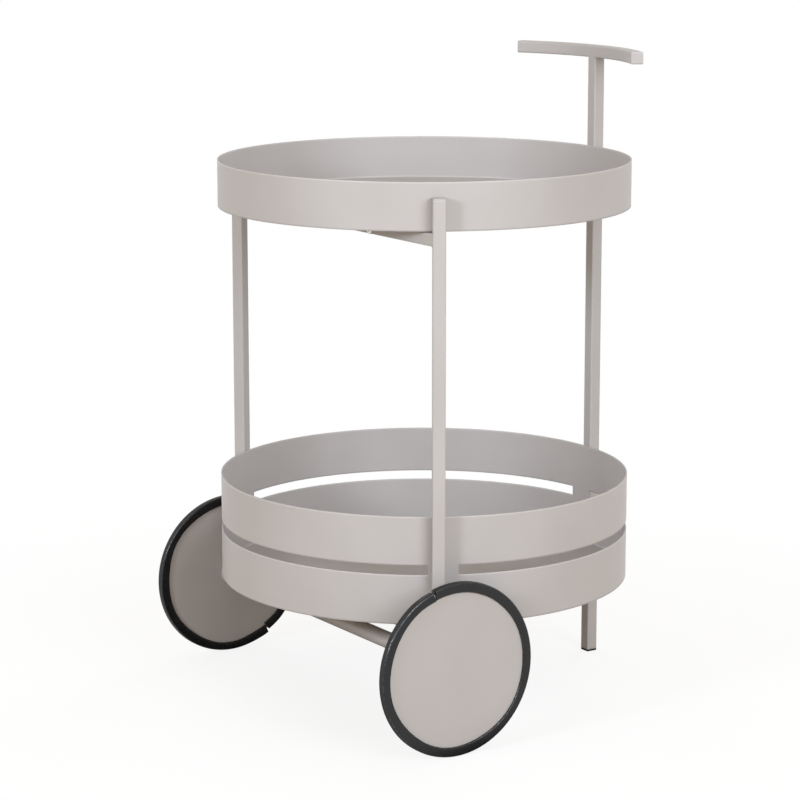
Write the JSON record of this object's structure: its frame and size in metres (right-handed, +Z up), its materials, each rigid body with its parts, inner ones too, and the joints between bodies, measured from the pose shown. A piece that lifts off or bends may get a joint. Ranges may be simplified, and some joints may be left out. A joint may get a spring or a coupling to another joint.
{
  "type": "serving cart",
  "caption": "Round two-tier serving cart: sheet trays hung between square tube legs, large front wheels and a T handle on the rear leg by which it is lifted and rolled.",
  "frame": {"origin": "on the floor, below the middle of the cart's box", "axes": "+Z up, +Y towards the rear leg and handle, +X along the axle to the right wheel"},
  "size_m": [0.531, 0.516, 0.784],
  "materials": {
    "powder_coat": "fine satin powder coat, greige",
    "tyre_rubber": "smooth extruded rubber, soft sheen",
    "black_plastic": "moulded, matte",
    "white_plastic": "turned acetal, matte",
    "zinc_steel": "zinc plated"
  },
  "bodies": {
    "frame": {"upper_tray_floor": "powder_coat", "upper_tray_wall": "powder_coat", "lower_tray_floor": "powder_coat", "lower_tray_wall": "powder_coat", "right_leg": "powder_coat", "left_leg": "powder_coat", "rear_leg": "powder_coat", "right_leg_cap": "powder_coat", "left_leg_cap": "powder_coat", "rear_foot": "black_plastic", "handle_bar": "powder_coat", "right_handle_cap": "powder_coat", "left_handle_cap": "powder_coat", "upper_crossbar": "powder_coat", "upper_spine": "powder_coat", "lower_crossbar": "powder_coat", "lower_spine": "powder_coat", "upper_right_lug": "powder_coat", "upper_left_lug": "powder_coat", "upper_rear_lug": "powder_coat", "lower_right_lug": "powder_coat", "lower_left_lug": "powder_coat", "lower_rear_lug": "powder_coat", "upper_tray_screws": "zinc_steel", "upper_tray_nuts": "zinc_steel", "lower_tray_screws": "zinc_steel", "lower_tray_nuts": "zinc_steel", "axle_tube": "powder_coat", "grub_screws": "zinc_steel", "right_axle_bush": "white_plastic", "left_axle_bush": "white_plastic"},
    "right_wheel": {"right_wheel_disc": "powder_coat", "right_tyre": "tyre_rubber", "right_hub": "powder_coat", "right_stub_shaft": "zinc_steel", "right_thrust_washer": "zinc_steel", "right_circlip": "zinc_steel"},
    "left_wheel": {"left_wheel_disc": "powder_coat", "left_tyre": "tyre_rubber", "left_hub": "powder_coat", "left_stub_shaft": "zinc_steel", "left_thrust_washer": "zinc_steel", "left_circlip": "zinc_steel"}
  },
  "joints": [
    {"name": "right_wheel_spin", "type": "hinge", "parent": "frame", "child": "right_wheel", "pos_m": [0.26075, -0.13725, 0.103], "axis": [1, 0, 0], "continuous": true},
    {"name": "left_wheel_spin", "type": "hinge", "parent": "frame", "child": "left_wheel", "pos_m": [-0.26075, -0.13725, 0.103], "axis": [1, 0, 0], "continuous": true}
  ]
}
